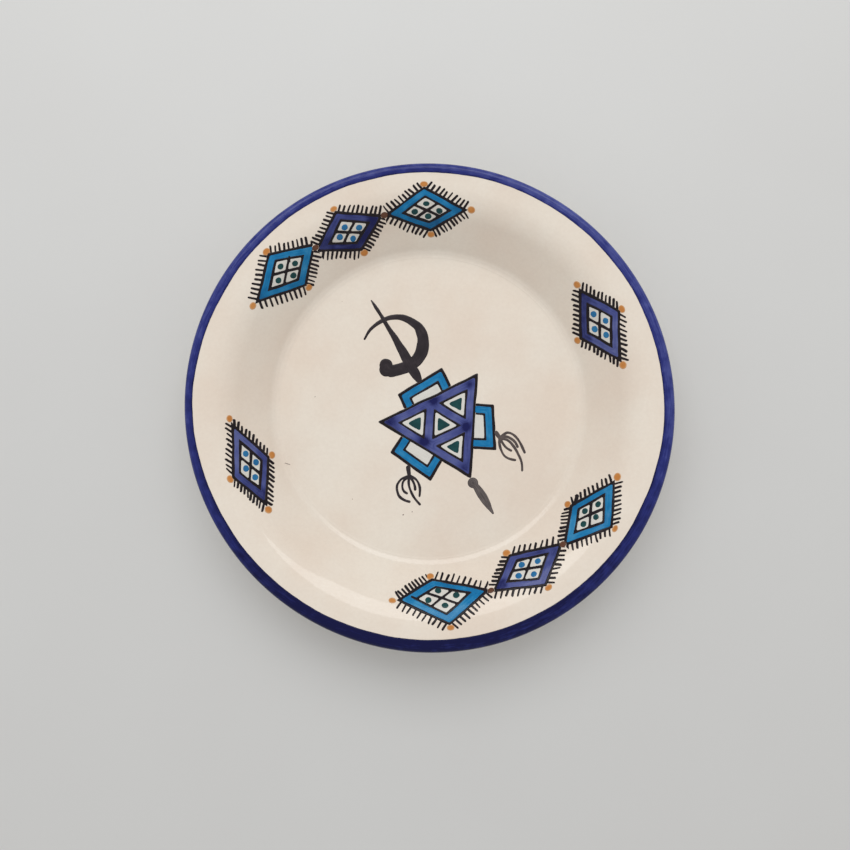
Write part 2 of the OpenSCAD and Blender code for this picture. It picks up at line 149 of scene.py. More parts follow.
# Waves of the band's inner edge and of its outer one: height, size and seed
BAND_WAVES = [(0.22, 14, 1), (0.07, 2.5, 2)]
BAND_END_WAVE = (0.3, 11, 4)
BAND_T = 0.2
BAND_ROUND = 0.7         # how far in from its edge the band is rounded
BAND_STEPS = 1440
BAND_POINTS = 20         # across the band
KNOT_GAP = 30            # degrees between the widths and tones given above

# Tones are added to the enamel's streaks. At and below PALEST an enamel shows its pale colour, at 0 its
# middle one, and at and above DARKEST its dark one.
PALEST = -0.7
DARKEST = 0.8


def smooth_step(x):
    x = np.clip(x, 0, 1)
    return x * x * (3 - 2 * x)


def noise_at(points, size, seed=0):
    """Smooth noise from about -1 to 1 at plan points, with features about `size` across."""
    shift = Vector((seed * 17.31, seed * -5.17, seed * 3.7))
    return np.array([noise.noise(Vector((x / size, y / size, 0)) + shift) for x, y in points])


def round_noise(bearings, radius, size, seed=0):
    """Smooth noise along a circle, which joins up with itself."""
    points = np.stack([radius * cos(bearings), radius * sin(bearings)], 1)
    return noise_at(points, size, seed)


# ---- The glaze's surface ----

def upper_surface(r):
    """Height and slope of the glaze's upper surface at distances r from the axis."""
    r = np.asarray(r, float)
    z = np.full(r.shape, WELL_Z)
    slope = np.zeros(r.shape)
    crease = (r > WELL_R) & (r <= WALL_START[0])
    slope[crease] = np.degrees(np.arcsin((r[crease] - WELL_R) / CREASE_R))
    z[crease] = WELL_Z + CREASE_R * (1 - cos(slope[crease]))
    wall = (r > WALL_START[0]) & (r <= WALL_END_R)
    slope[wall] = WALL_SLOPE
    z[wall] = WALL_START[1] + (r[wall] - WALL_START[0]) * tan(WALL_SLOPE)
    flare = (r > WALL_END_R) & (r <= FLARE_END_R)
    slope[flare] = np.degrees(np.arcsin((FLARE_C[0] - r[flare]) / FLARE_R))
    z[flare] = FLARE_C[1] + FLARE_R * cos(slope[flare])
    lip = r > FLARE_END_R
    slope[lip] = LIP_SLOPE
    z[lip] = FLARE_END_Z + (r[lip] - FLARE_END_R) * tan(LIP_SLOPE)
    for ridge_r, height, half_width in RIDGES:
        z = z + height * np.exp(-((r - ridge_r) / half_width) ** 2)
    return z, slope


def drift(r, bearing):
    """How far the plate is out of round at distances r and bearings."""
    oval = OVAL * PLATE_R * (r / PLATE_R) ** 3 * cos(2 * (bearing - OVAL_BEARING))
    full_from, full_to = SHIFT_FULL_R
    share = smooth_step(r / full_from) * (1 - smooth_step((r - full_to) / (PLATE_R - full_to)))
    return oval + WELL_SHIFT * share * cos(bearing - WELL_SHIFT_BEARING)


def unevenness(points, z):
    """Slow waves of the whole body, which leave the foot ring flat."""
    growth = smooth_step((z - UNEVEN_START_H) / UNEVEN_GROW_H)
    return UNEVEN * noise_at(points, UNEVEN_SIZE, seed=3) * growth


def on_plate(points, height):
    """Places in metres above plan points, at heights over the glaze along its normal."""
    points = np.asarray(points, float)
    r = np.hypot(points[:, 0], points[:, 1])
    bearing = np.degrees(np.arctan2(points[:, 1], points[:, 0]))
    z, slope = upper_surface(r - drift(r, bearing))
    z = z + unevenness(points, z)
    outward = -np.asarray(height) * sin(slope)
    x = points[:, 0] + outward * cos(bearing)
    y = points[:, 1] + outward * sin(bearing)
    return np.stack([x, y, z + np.asarray(height) * cos(slope)], 1) * MM


# ---- Meshes ----

def new_piece(name, vertices, faces, material, replaced, attributes=None):
    """A smooth mesh that rides on the plate and stands for CAD nodes."""
    mesh = bpy.data.meshes.new(name)
    mesh.from_pydata([tuple(v) for v in vertices], [], faces)
    mesh.validate()
    for key, values in (attributes or {}).items():
        layer = mesh.attributes.new(key, "FLOAT", "POINT")
        layer.data.foreach_set("value", np.asarray(values, np.float32))
    shell = bmesh.new()
    shell.from_mesh(mesh)
    bmesh.ops.recalc_face_normals(shell, faces=shell.faces)
    shell.to_mesh(mesh)
    shell.free()
    mesh.polygons.foreach_set("use_smooth", [True] * len(mesh.polygons))
    mesh.materials.append(material)
    piece = bpy.data.objects.new(name, mesh)
    bpy.context.scene.collection.objects.link(piece)
    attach(piece, "root")
    if replaced:
        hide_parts(*replaced)
    return piece


def arc(centre, r, start, end, steps):
    """Points of an arc in the plate's section."""
    return [(centre[0] + r * cos(a), centre[1] + r * sin(a)) for a in np.linspace(start, end, steps + 1)]


def top_line(t):
    """Upper surface grown by t, from the axis to the start of the lip's round edge."""
    if t == 0:
        radii = np.concatenate([
            np.linspace(0, WELL_R, 26), np.linspace(WELL_R, WALL_START[0], 34)[1:],
            np.linspace(WALL_START[0], WALL_END_R, 9)[1:], np.linspace(WALL_END_R, FLARE_END_R, 17)[1:],
            np.linspace(FLARE_END_R, LIP_START_R, 6)[1:-1],
        ])
        return list(zip(radii, upper_surface(radii)[0]))
    line = [(r, WELL_Z + t) for r in np.linspace(0, WELL_R, 6)[:-1]]
    line += arc(CREASE_C, CREASE_R - t, -90, WALL_SLOPE - 90, 6)
    return line + arc(FLARE_C, FLARE_R + t, 90 + WALL_SLOPE, 90 + LIP_SLOPE, 6)


def edge_line(t):
    return arc(LIP_EDGE_C, LIP_EDGE_R + t, 90 + LIP_SLOPE, LIP_SLOPE - 90, 20)


def under_line(t):
    """Outside, from below the lip to the end of the glaze on the foot's outer side."""
    steps = 12 if t == 0 else 5
    fillet = FOOT_FILLET
    side = FOOT_R + t
    line = arc(FLARE_C, FLARE_R - WALL_T - t, 90 + LIP_SLOPE, 90 + WALL_SLOPE, steps)
    line += arc(CREASE_C, CREASE_R + WALL_T + t, WALL_SLOPE - 90, -90, steps)
    line += arc((side + fillet, UNDER_Z - t - fillet), fillet, 90, 180, 6)
    return line + [(side, BARE_H + ABOVE_BARE)]


def foot_line(t):
    """Bare end of the foot ring, from its outer side to its inner side."""
    outer = FOOT_R + t
    inner = FOOT_R - FOOT_W - t
    start_z = BARE_H - BELOW_BARE
    line = [(outer, start_z)] + arc((outer - FOOT_ROUND, FOOT_ROUND), FOOT_ROUND, 0, -90, 6)
    return line + arc((inner + FOOT_ROUND, FOOT_ROUND), FOOT_ROUND, -90, -180, 6) + [(inner, start_z)]


def base_line(t):
    """Underneath, from the foot ring's inner side to the axis."""
    fillet = BASE_FILLET
    side = FOOT_R - FOOT_W - t
    line = [(side, BARE_H + ABOVE_BARE)] + arc((side - fillet, UNDER_Z - t - fillet), fillet, 0, 90, 6)
    return line + [(r, UNDER_Z - t) for r in np.linspace(side - fillet, 0, 16)[1:]]


def glaze_end(side, inward):
    """Rounded lower end of the glaze on the foot; inward is the direction to the clay."""
    return [(side + inward * 0.05, BARE_H + 0.15), (side + inward * 0.2, BARE_H)]


def lathe(name, outline, material, replaced):
    """Closed body turned from an outline whose first and last points lie on the axis."""
    section = np.array(outline)[1:-1]
    count = len(section)
    bearings = np.arange(TURN_STEPS) * 360 / TURN_STEPS
    r = np.tile(section[:, 0], (TURN_STEPS, 1))
    z = np.tile(section[:, 1], (TURN_STEPS, 1))
    b = np.tile(bearings[:, None], (1, count))
    r = r + drift(r, b)
    plan = np.stack([r * cos(b), r * sin(b)], 2).reshape(-1, 2)
    z = z.ravel() + unevenness(plan, z.ravel())
    wave = np.repeat(GLAZE_END_WAVE * round_noise(bearings, FOOT_R, GLAZE_END_WAVE_SIZE, seed=5), count)
    low, high = GLAZE_END_ZONE
    z = z + wave * (smooth_step(z - low) * smooth_step(high - z))
    ends = [(0, 0, outline[0][1]), (0, 0, outline[-1][1])]
    vertices = np.concatenate([np.column_stack([plan, z]), ends]) * MM
    first, last = len(vertices) - 2, len(vertices) - 1
    faces = []
    for i in range(TURN_STEPS):
        a, n = i * count, (i + 1) % TURN_STEPS * count
        faces.append((first, a, n))
        faces.extend((a + k, a + k + 1, n + k + 1, n + k) for k in range(count - 1))
        faces.append((last, n + count - 1, a + count - 1))
    return new_piece(name, vertices, faces, material, replaced)


def make_plate(clay, glaze, inner_glaze):
    g = -GLAZE_T
    lathe("turned_body", top_line(g) + edge_line(g) + under_line(g) + foot_line(g) + base_line(g),
          clay, ["clay_body"])
    outside = top_line(0) + edge_line(0) + under_line(0) + glaze_end(FOOT_R, -1)
    inside = top_line(g) + edge_line(g) + under_line(g)
    lathe("glazed_surface", outside + inside[::-1], glaze, ["glaze_coat"])
    lathe("glazed_base", base_line(0)[::-1] + glaze_end(FOOT_R - FOOT_W, 1) + base_line(g),
          inner_glaze, ["base_glaze"])


def dome(distance, height, edge):
    """Height of a deposit at distances from its edge: rounded, and level further in than `edge`."""
    inside = 1 - np.clip(distance / edge, 0, 1)
    return RIM_T + (height - RIM_T) * np.sqrt(1 - inside * inside)


# ---- The cobalt band ----

def lip_section(s):
    """Points and normals of the section at lengths s past the start of the lip's round edge."""
    angle = np.where(s > 0, 90 + LIP_SLOPE - np.degrees(np.maximum(s, 0) / LIP_EDGE_R), 90 + LIP_SLOPE)
    back = np.minimum(s, 0)
    r = LIP_EDGE_C[0] + LIP_EDGE_R * cos(angle) + back * cos(LIP_SLOPE)
    z = LIP_EDGE_C[1] + LIP_EDGE_R * sin(angle) + back * sin(LIP_SLOPE)
    return r, z, cos(angle), sin(angle)


def band_widths(bearings):
    """The band's visible width, from the given ones and the unsteadiness of the hand."""
    knot = (bearings // KNOT_GAP).astype(int)
    u = smooth_step((bearings - KNOT_GAP * knot) / KNOT_GAP)
    given = np.array(BAND_WIDTHS)
    width = given[knot] * (1 - u) + given[(knot + 1) % len(given)] * u
    for height, size, seed in BAND_WAVES:
        width = width + height * round_noise(bearings, PLATE_R, size, seed)
    return width


def band_tone(bearings, edge_mm, count):
    """Tone at every vertex, for rings of `count` vertices one after another, with painted shade towards the
    band's edges and a painted highlight along its crest.
    """
    knots = np.arange(len(BAND_TONES) + 1) * KNOT_GAP
    tone = np.repeat(np.interp(bearings, knots, BAND_TONES + BAND_TONES[:1]), count)
    # Painted shade towards the band's edges, then a painted highlight along its crest
    tone = tone + BAND_EDGE_SHADE_TONE * (1 - smooth_step(edge_mm))
    return tone + CREST_HIGHLIGHT_TONE * smooth_step((edge_mm - CREST_HIGHLIGHT_START) / CREST_HIGHLIGHT_FADE)


def make_band(material):
    bearings = np.arange(BAND_STEPS) * 360 / BAND_STEPS
    table = np.linspace(-6, 3, 400)
    start = np.interp(PLATE_R - band_widths(bearings), lip_section(table)[0], table)
    end_angle = np.degrees(np.arcsin((PLATE_H - BAND_DROP - LIP_EDGE_C[1]) / LIP_EDGE_R))
    end = np.radians(90 + LIP_SLOPE - end_angle) * LIP_EDGE_R
    height, size, seed = BAND_END_WAVE
    end = end + height * round_noise(bearings, PLATE_R, size, seed)
    u = (1 - np.cos(np.linspace(0, np.pi, BAND_POINTS))) / 2
    s = start[:, None] + (end - start)[:, None] * u
    distance = np.minimum(s - start[:, None], end[:, None] - s)
    b = np.tile(bearings[:, None], (1, BAND_POINTS))
    r0, z0, nr, nz = lip_section(s)
    rings = []
    for height in (dome(distance, BAND_T, BAND_ROUND), np.full(s.shape, -SUNK)):
        r = r0 + nr * height
        z = z0 + nz * height
        r = r + drift(r, b)
        plan = np.stack([r * cos(b), r * sin(b)], 2).reshape(-1, 2)
        z = z.ravel() + unevenness(plan, z.ravel())
        rings.append(np.column_stack([plan, z]).reshape(BAND_STEPS, BAND_POINTS, 3))
    vertices = np.concatenate([rings[0], rings[1][:, ::-1]], 1).reshape(-1, 3) * MM
    edge_mm = np.concatenate([distance, distance[:, ::-1]], 1).ravel()
    count = 2 * BAND_POINTS
    faces = []
    for i in range(BAND_STEPS):
        a, n = i * count, (i + 1) % BAND_STEPS * count
        faces.extend((a + k, a + (k + 1) % count, n + (k + 1) % count, n + k) for k in range(count))
    return new_piece("painted_band", vertices, faces, material, ["rim_band"],
                     {"edge": edge_mm, "tone": band_tone(bearings, edge_mm, count)})


# ---- Drawings ----

def welded(plan, index):
    """The index with plan points closer than the weld distance taken as one."""
    tree = kdtree.KDTree(len(plan))
    for k, point in enumerate(plan):
        tree.insert((*point, 0), k)
    tree.balance()
    same = np.array([min(k for _, k, _ in tree.find_range((*point, 0), WELD)) for point in plan])
    return same[index]


def unpaired(sides):
    """The directed sides whose opposite is missing, which are the rim of a triangulated area."""
    count = Counter((int(a), int(b)) for a, b in sides if a != b)
    return [side for side in count if count[side] > count[side[::-1]]]


def split_at_vertices(sides, plan):
    """Sides cut where another rim point lies on them, as along the seam of two CAD faces."""
    used = np.array(sorted({k for side in sides for k in side}))
    parts = []
    for a, b in sides:
        run = plan[b] - plan[a]
        length2 = max(run @ run, 1e-9)
        away = plan[used] - plan[a]
        share = away @ run / length2
        gap = np.abs(away[:, 0] * run[1] - away[:, 1] * run[0]) / math.sqrt(length2)
        on = used[(share > 0.001) & (share < 0.999) & (gap < SEAM_GAP) & (used != a) & (used != b)]
        on = sorted(on, key=lambda k: (plan[k] - plan[a]) @ run)
        chain = [a, *(int(k) for k in on), b]
        parts.extend(zip(chain, chain[1:]))
    return parts


def drawing(node):
    """Outlines of a CAD node's upper faces seen from above, each a closed loop of plan points."""
    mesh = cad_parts[node].data
    mesh.calc_loop_triangles()
    places = np.empty(len(mesh.vertices) * 3)
    mesh.vertices.foreach_get("co", places)
    places = places.reshape(-1, 3) / MM
    corners = np.empty(len(mesh.loop_triangles) * 3, int)
    mesh.loop_triangles.foreach_get("vertices", corners)
    corners = corners.reshape(-1, 3)
    a, b, c = (places[corners[:, k]] for k in range(3))
    normal = np.cross(b - a, c - a)
    size = np.linalg.norm(normal, axis=1)
    upper = (size > 1e-9) & (normal[:, 2] > FACES_UP * size)
    plan, index = np.unique(np.round(places[:, :2], 3), axis=0, return_inverse=True)
    index = welded(plan, index.ravel())
    sides = [(t[k], t[(k + 1) % 3]) for t in index[corners[upper]] for k in range(3)]
    rim = unpaired(sides)
    edges = unpaired(split_at_vertices(rim, plan))
    follow = {}
    for start, end in sorted(edges):
        follow.setdefault(start, []).append(end)
    loops = []
    while follow:
        first = next(iter(follow))
        loop, here = [], first
        while here in follow:
            loop.append(here)
            onward = follow[here].pop()
            if not follow[here]:
                del follow[here]
            here = onward
        loops.append(plan[loop])
    return [loop for loop in loops if abs(area(loop)) > SLIVER_AREA]


def area(loop):
    x, y = loop[:, 0], loop[:, 1]
    return (x @ np.roll(y, -1) - y @ np.roll(x, -1)) / 2


def even_loop(loop, step, soften=2):
    """The loop with points `step` apart and its corners rounded, as a brush leaves them."""
    closed = np.vstack([loop, loop[:1]])
    lengths = np.concatenate([[0], np.cumsum(np.linalg.norm(np.diff(closed, axis=0), axis=1))])
    count = max(10, int(lengths[-1] / step))
    along = np.arange(count) * lengths[-1] / count
    points = np.column_stack([np.interp(along, lengths, closed[:, k]) for k in range(2)])
    for _ in range(soften):
        points = points / 2 + (np.roll(points, 1, 0) + np.roll(points, -1, 0)) / 4
    return points


def outward_normals(points):
    """Normals to the right of the loop's run, which is outwards from the painted area."""
    run = np.roll(points, -1, 0) - np.roll(points, 1, 0)
    run = run / np.maximum(np.linalg.norm(run, axis=1, keepdims=True), 1e-9)
    return np.column_stack([run[:, 1], -run[:, 0]])


def sway(points):
    """Shared slow drift of the hand, so that neighbouring deposits stay matched."""
    return DRAWING_SWAY * np.column_stack([noise_at(points, DRAWING_SWAY_SIZE, seed) for seed in (11, 12)])


def brushed(loop, seed, bleed, swell, soften):
    """A drawn loop with a brush's uneven edge: grown by bleed, and by swell where the brush pressed."""
    points = even_loop(loop, LOOP_STEP, soften)
    grow = bleed + swell * noise_at(points, SWELL_SIZE, seed)
    grow = grow + BRISTLE * noise_at(points, BRISTLE_SIZE, seed + 1)
    return points + outward_normals(points) * grow[:, None] + sway(points)


def inside_loops(points, loops):
    """Which points lie inside the loops, where a loop inside a loop is a hole."""
    inside = np.zeros(len(points), bool)
    for loop in loops:
        ends = np.roll(loop, -1, 0)
        low, high = loop.min(0), loop.max(0)
        near = np.flatnonzero((points >= low).all(1) & (points <= high).all(1))
        if not len(near):
            continue
        x, y = points[near, 0][:, None], points[near, 1][:, None]
        crosses = (loop[:, 1] > y) != (ends[:, 1] > y)
        rise = np.where(ends[:, 1] == loop[:, 1], 1, ends[:, 1] - loop[:, 1])
        at = loop[:, 0] + (y - loop[:, 1]) / rise * (ends[:, 0] - loop[:, 0])
        inside[near] ^= ((crosses & (x < at)).sum(1) % 2).astype(bool)
    return inside


def edge_distance(points, loops):
    """Distance from each point to the loops, taken to the sides that meet at the nearest vertex."""
    starts = np.concatenate(loops)
    before = np.concatenate([np.roll(loop, 1, 0) for loop in loops])
    after = np.concatenate([np.roll(loop, -1, 0) for loop in loops])
    tree = kdtree.KDTree(len(starts))
    for k, point in enumerate(starts):
        tree.insert((*point, 0), k)
    tree.balance()
    near = np.array([tree.find((*point, 0))[1] for point in points])
    best = np.full(len(points), np.inf)
    for ends in (before, after):
        run = ends[near] - starts[near]
        share = ((points - starts[near]) * run).sum(1) / np.maximum((run * run).sum(1), 1e-12)
        away = points - starts[near] - np.clip(share, 0, 1)[:, None] * run
        best = np.minimum(best, np.hypot(away[:, 0], away[:, 1]))
    return best


def deposit(name, loops, material, replaced=None, height=0.15, edge=0.4, spacing=0.35, seed=0,
            tone=None):
    """Closed enamel deposit with these outlines, lying on the glaze and domed at its edge."""
    low = np.min([loop.min(0) for loop in loops], 0)
    high = np.max([loop.max(0) for loop in loops], 0)
    rows = np.arange(low[1], high[1], spacing * ROW_SHARE)
    inner = np.array([(x + (spacing / 2 if k % 2 else 0), y) for k, y in enumerate(rows)
                      for x in np.arange(low[0], high[0], spacing)])
    inner = inner[inside_loops(inner, loops)]
    if len(inner):
        inner = inner[edge_distance(inner, loops) > INNER_GAP]
    ring = np.concatenate(loops)
    points = np.vstack([ring, inner]) if len(inner) else ring
    constraints, start = [], 0
    for loop in loops:
        n = len(loop)
        constraints += [(start + k, start + (k + 1) % n) for k in range(n)]
        start += n
    flat, _, triangles, *_ = delaunay_2d_cdt([Vector(p) for p in points], constraints, [], 0, 1e-6)
    flat = np.array([tuple(p) for p in flat])
    triangles = np.array(triangles)
    middles = flat[triangles].mean(1)
    triangles = triangles[inside_loops(middles, loops)]
    used, triangles = np.unique(triangles, return_inverse=True)
    triangles = triangles.reshape(-1, 3)
    flat = flat[used]
    distance = edge_distance(flat, loops)
    uneven = 1 + LUMPS * noise_at(flat, LUMP_SIZE, seed + 5)
    lift = dome(distance, height, edge) * np.where(distance < ON_OUTLINE, 1, uneven)
    count = len(flat)
    vertices = np.vstack([on_plate(flat, lift), on_plate(flat, np.full(count, -SUNK))])
    edges = {(int(t[k]), int(t[(k + 1) % 3])) for t in triangles for k in range(3)}
    faces = [tuple(int(v) for v in t) for t in triangles]
    faces += [tuple(int(v) + count for v in t[::-1]) for t in triangles]
    faces += [(b, a, a + count, b + count) for a, b in sorted(edges) if (b, a) not in edges]
    shade = tone(flat) if tone else np.zeros(count)
    return new_piece(name, vertices, faces, material, replaced,
                     {"edge": np.tile(distance, 2), "tone": np.tile(shade, 2)})


def paint(node, slot, material, height=0.15, edge=0.4, bleed=0.0, swell=0.1, spacing=0.35, tone=None,
          stray=0.0, soften=2):
    """Enamel deposit drawn again from a CAD node, each loop up to `stray` from its place."""
    seed = sum(ord(c) * (k + 1) for k, c in enumerate(node)) % 97
    rng = np.random.default_rng(seed)
    loops = [brushed(loop, seed, bleed, swell, soften) + stray * rng.uniform(-1, 1, 2)
             for loop in drawing(node)]
    return deposit(node + "_painted", loops, material, [node], height, edge, spacing, seed, tone)


# ---- Lozenges ----
TURQUOISE_ONES = (1, 3, 5, 7)
# Width of one pass of the brush in a field, and of its soft side
WASH_W = 3.4
WASH_FADE = 2
# Tones of each field's four passes, then of their overlaps. Passes run clockwise from the
# anticlockwise tip, where the first overlap lies.
WASHES = {
    1: ([0.1, -0.1, -0.1, 0.1], [0.15, 0.0, -0.1, 0.1]),
    2: ([0.25, 0.4, 0.75, 0.6], [0.1, 0.0, 0.3, 0.1]),
    3: ([0.0, 0.0, 0.3, 0.25], [0.1, 0.0, 0.1, 0.1]),
    4: ([0.1, -0.35, -0.25, 0.45], [0.3, 0.0, 0.0, 0.4]),
    5: ([0.0, 0.0, -0.4, 0.05], [-0.1, 0.0, -0.1, 0.2]),
    6: ([0.0, -0.25, -0.1, 0.2], [0.0, -0.1, 0.8, 0.1]),
    7: ([-0.1, -0.3, 0.0, 0.0], [0.1, -0.1, 0.1, 0.0]),
    8: ([0.15, -0.4, -0.25, 0.15], [0.4, 0.0, -0.1, 0.4]),
}
# How the fringe's strokes differ, from root to tip
STROKE_STEP = 0.2
STROKE_STRETCH = (0.82, 1.08)
STROKE_WIDEN = (0.95, 1.35)
STROKE_TAPER = (-0.28, 0.12)
STROKE_CURVE = 0.16
STROKE_SWING = 0.12
STROKE_ROOT = 0.35       # how far a root is drawn back under the outline
STROKE_ROUGH = 0.06
STROKE_ROUGH_SIZE = 0.8


def corners_of(loop):
    """A lozenge's anticlockwise tip, outer corner, clockwise tip and inner corner."""
    r = np.hypot(loop[:, 0], loop[:, 1])
    middle = math.degrees(math.atan2(loop[:, 1].mean(), loop[:, 0].mean()))
    bearing = (np.degrees(np.arctan2(loop[:, 1], loop[:, 0])) - middle + 180) % 360
    return loop[np.argmax(bearing)], loop[np.argmax(r)], loop[np.argmin(bearing)], loop[np.argmin(r)]


def fringe_strokes(node, middle, seed):
    """The fringe's strokes, each swung, bent, stretched and tapered a little on its own."""
    rng = np.random.default_rng(seed)
    strokes = []
    for loop in drawing(node):
        points = even_loop(loop, STROKE_STEP)
        centre = points.mean(0)
        spread = np.linalg.svd(points - centre, full_matrices=False)[2][0]
        axis = spread if spread @ (centre - middle) > 0 else -spread
        across = np.array([-axis[1], axis[0]])
        along = (points - centre) @ axis
        side = (points - centre) @ across
        root = along.min()
        length = along.max() - root
        t = (along - root) / max(length, 1e-6)
        stretch = rng.uniform(*STROKE_STRETCH)
        width = rng.uniform(*STROKE_WIDEN) * (1 + rng.uniform(*STROKE_TAPER) * t)
        bend = rng.normal(0, STROKE_CURVE) * t * t + rng.normal(0, STROKE_SWING) * t
        new_along = root + (along - root) * stretch - STROKE_ROOT * (1 - t)
        points = centre + new_along[:, None] * axis + (side * width + bend)[:, None] * across
        rough = STROKE_ROUGH * noise_at(points, STROKE_ROUGH_SIZE, seed)[:, None]
        points = points + rough * outward_normals(points)
        strokes.append(points + sway(points))
    return strokes


def wash(order, overlaps, sides):
    """Tone of a lozenge's field: each side is one pass of the brush, and passes overlap in the corners."""
    middle = sum(order) / 4

    def tone(points):
        near = []
        for p, q in zip(order, (*order[1:], order[0])):
            run = (q - p) / np.linalg.norm(q - p)
            inward = np.array([-run[1], run[0]])
            if inward @ (middle - p) < 0:
                inward = -inward
            near.append((points - p) @ inward)
        cover = smooth_step((WASH_W - np.array(near)) / WASH_FADE + 0.5)
        total = np.maximum(cover.sum(0), 1e-6)
        value = (cover * np.array(sides)[:, None]).sum(0) / total
        for k in range(4):
            value = value + overlaps[k] * cover[k - 1] * cover[k]
        return value
    return tone


# What deposits of one kind share
FIELD = dict(height=0.1, edge=0.3, swell=0.05)
GROUND = dict(height=0.07, edge=0.3, bleed=0.3)
BROAD_STROKE = dict(height=0.15, edge=0.7, bleed=0.1, swell=0.2, spacing=0.4)
TASSEL = dict(height=0.12, edge=0.45, swell=0.2, spacing=0.3)


def make_lozenges(materials):
    for i, (sides, overlaps) in WASHES.items():
        name = f"lozenge_{i}"
        turquoise = i in TURQUOISE_ONES
        outer = max(drawing(name + "_field"), key=lambda loop: np.ptp(loop, axis=0).sum())
        corner_points = corners_of(outer)
        paint(name + "_field", "turquoise_enamel" if turquoise else "cobalt_enamel",
              materials["turquoise" if turquoise else "cobalt"], bleed=0.35, spacing=0.42,
              tone=wash(corner_points, overlaps, sides), soften=9, **FIELD)
        paint(name + "_outline", "ink_line", materials["ink"], height=0.19, edge=0.5, bleed=-0.04,
              swell=0.22, spacing=0.3)
        paint(name + "_dots", "green_enamel" if turquoise else "turquoise_enamel",
              materials["green" if turquoise else "blue_dot"], height=0.15, edge=0.5, bleed=0.22,
              swell=0.14, stray=0.5)
        strokes = fringe_strokes(name + "_fringe", sum(corner_points) / 4, 40 + i)
        deposit(name + "_fringe_painted", strokes, materials["ink"], [name + "_fringe"],
                height=0.13, edge=0.35, spacing=0.26, seed=i)
    paint("lozenge_cells", "white_enamel", materials["white"], swell=0.08, **GROUND)
    paint("ochre_dots", "ochre_enamel", materials["ochre"], height=0.06, edge=0.9, bleed=0.2,
          swell=0.35, spacing=0.28)
    paint("chain_dots", "brown_enamel", materials["brown"], height=0.2, edge=0.8, swell=0.25,
          spacing=0.28)


BROOCH_TONE = -0.15
BROOCH_CLOUD = 0.35
BROOCH_CLOUD_SIZE = 7
# Spots of the brooch's field where the cobalt pooled: plan place, radius and tone
POOLS = [(1.8, 4.1, 2.6, 1.3), (-2.7, -15.9, 2.8, 1.6), (18.3, -8.9, 2.4, 1.3), (20.3, 12.6, 2.6, 1.1),
         (-19.5, -6.4, 3.4, 0.9), (17.0, -29.5, 3.0, 0.6)]


def pooled(points):
    """Tone of the brooch's field, with dark spots where the enamel pooled."""
    value = BROOCH_TONE + BROOCH_CLOUD * noise_at(points, BROOCH_CLOUD_SIZE, seed=21)
    for x, y, r, dark in POOLS:
        value = value + dark * np.exp(-((points[:, 0] - x) ** 2 + (points[:, 1] - y) ** 2) / r ** 2)
    return value


# Ends of lines that the brush carried too far: both ends in plan, and half width
OVERSHOOTS = [(-66.2, 71.6, -66.3, 69.4, 0.5), (-8.6, -90.2, -6.2, -91.1, 0.55),
              (72.4, -42.4, 71.0, -46.4, 0.75)]
# Three brown pinholes and a short scratch in the glaze: both ends in plan, and half width
FLAWS = [(-57.2, 6.1, -57.1, 6.2, 0.16), (-13.2, -52.9, -13.0, -52.7, 0.24),
         (-8.7, -51.4, -8.5, -51.3, 0.18), (-72.0, -26.9, -69.6, -27.7, 0.1)]


def dab(x0, y0, x1, y1, half):
    """Outline of one short stroke with round ends."""
    start, end = np.array([x0, y0]), np.array([x1, y1])
    heading = math.degrees(math.atan2(y1 - y0, x1 - x0))
    bearings = heading + np.linspace(-90, 90, 9)
    half_round = half * np.column_stack([cos(bearings), sin(bearings)])
    return np.vstack([end + half_round, start - half_round])


def make_hand_marks(materials):
    strokes = [dab(*mark) for mark in OVERSHOOTS]
    deposit("line_overshoots", [stroke + sway(stroke) for stroke in strokes],
            materials["ink"], height=0.2, edge=0.4, spacing=0.26)
    deposit("glaze_pinholes", [dab(*mark) for mark in FLAWS], materials["brown"],
            height=0.02, edge=0.2, spacing=0.2)


def make_brooch(materials):
    paint("brooch_field", "cobalt_enamel", materials["cobalt"], bleed=0.3, tone=pooled, soften=16, **FIELD)
    paint("brooch_cells", "white_enamel", materials["white"], swell=0.06, **GROUND)
    paint("brooch_green", "green_enamel", materials["green"], height=0.14, edge=0.6, bleed=0.4,
          swell=0.3, spacing=0.3, soften=22)
    paint("brooch_outline", "ink_line", materials["ink"], height=0.17, edge=0.5, swell=0.2,
          spacing=0.3, soften=16)
    for i in range(1, 4):
        paint(f"bracket_{i}_field", "turquoise_enamel", materials["turquoise"], bleed=0.35, soften=6,
              **FIELD)
        # Softer corners would open gaps where a bracket's lines meet the triangle
        paint(f"bracket_{i}_outline", "ink_line", materials["ink"], height=0.17, edge=0.5, bleed=0.05,
              swell=0.2, spacing=0.3, soften=5)
    paint("brooch_pin", "brush_black", materials["black"], **BROAD_STROKE)
    paint("brooch_ring", "brush_black", materials["black"], **BROAD_STROKE)
    paint("tassel_1", "brush_black", materials["black"], **TASSEL)
    paint("tassel_2", "brush_black", materials["thin_black"], **TASSEL)
    paint("pendant", "brush_black", materials["smoke"], height=0.12, edge=0.9, bleed=0.1, swell=0.15)


# ---- Materials ----
GLAZE_ROUGHNESS = 0.07
ENAMEL_ROUGHNESS = 0.14
ENAMEL_IOR = 1.3         # low, because the room's reflection would lift the blacks and blues
STREAK_RUN = 0.12        # a streak is about 1 / STREAK_RUN long
STREAK_GAIN = 2.4        # tone that full streaks add or take
PATCH_GAIN = 1.1         # tone that the patches add or take
PINHOLE_GAP = 19         # about how far apart the cells lie that may hold a pinhole,
PINHOLE_RARITY = 0.62    # and the share of them that hold none
RING_GAP = 2.6           # between the turning rings' crests


def linear(colour):
    """An sRGB colour from 0 to 255 as linear RGBA."""
    parts = [(c / 255 / 12.92) if c / 255 < 0.04045 else ((c / 255 + 0.055) / 1.055) ** 2.4 for c in colour]
    return (*parts, 1)


